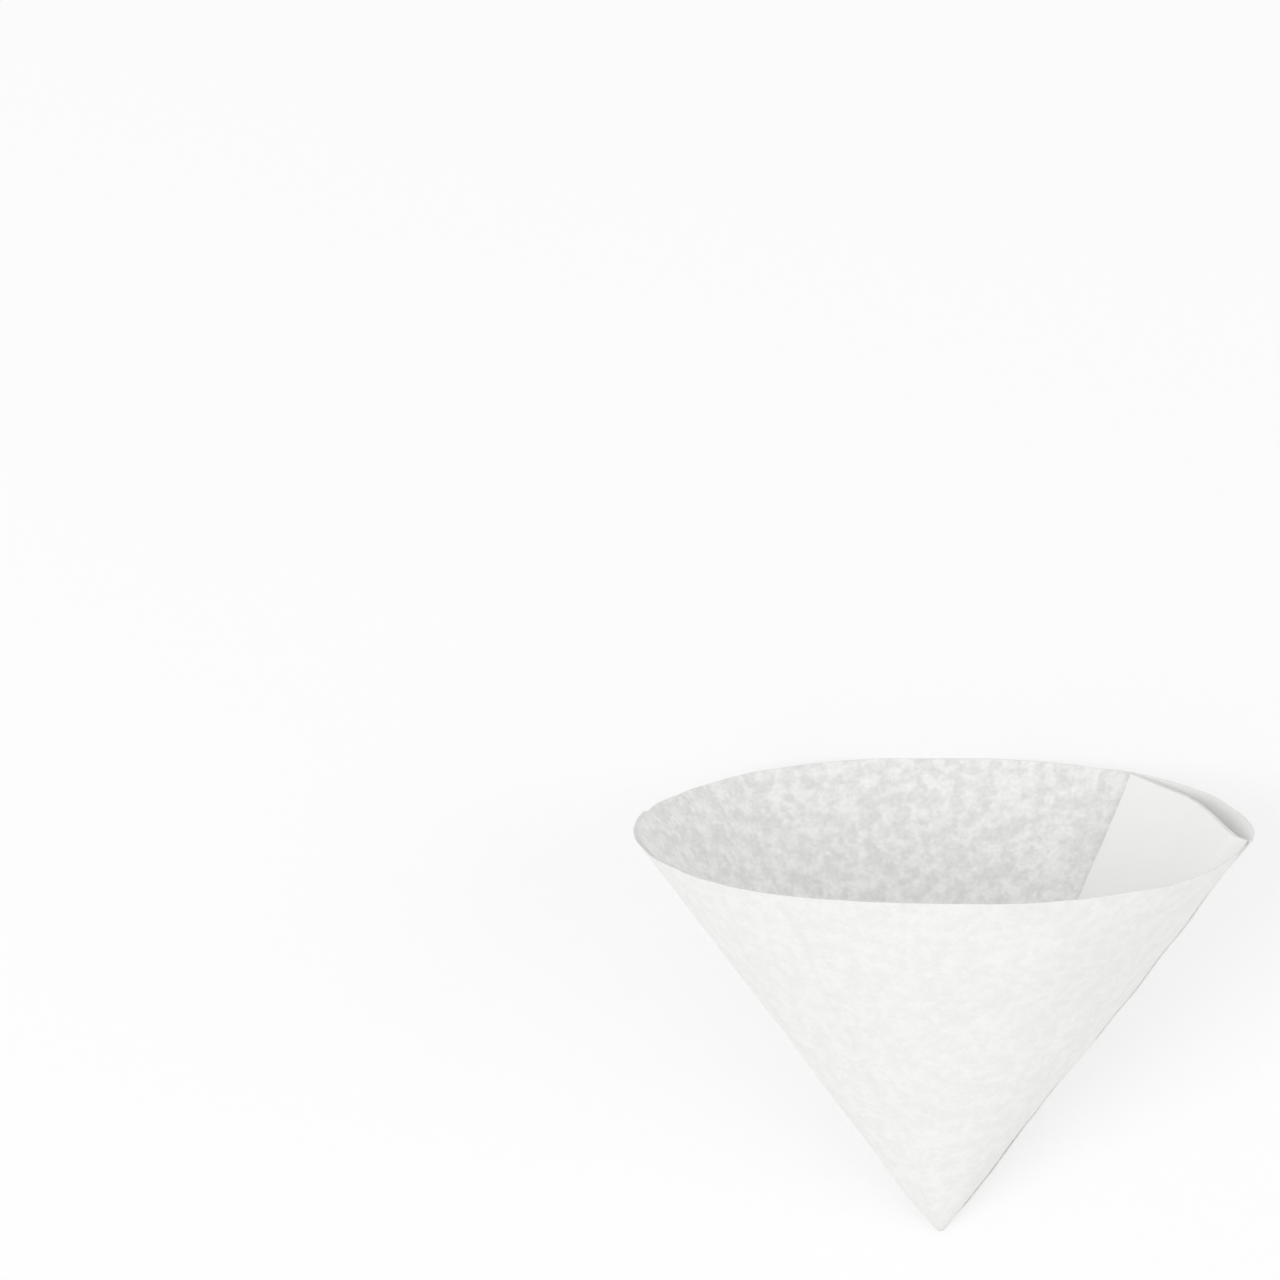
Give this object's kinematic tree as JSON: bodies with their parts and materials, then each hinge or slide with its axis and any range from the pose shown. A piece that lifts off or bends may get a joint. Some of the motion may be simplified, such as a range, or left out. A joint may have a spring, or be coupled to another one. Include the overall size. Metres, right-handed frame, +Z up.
{
  "type": "laboratory filter paper",
  "caption": "Round filter paper folded into a pleated funnel cone, lying on its side with its mouth open, for pouring a liquid through.",
  "frame": {"origin": "On the surface that the cone lies on, at the middle of its box.", "axes": "+Z is up. The point of the cone is towards -Y, its mouth opens towards +Y and upwards, and X runs across the mouth."},
  "size_m": [0.0898, 0.0742, 0.0712],
  "materials": {
    "paper": "matte"
  },
  "bodies": {
    "root": {"filter_paper": "paper"}
  },
  "joints": []
}
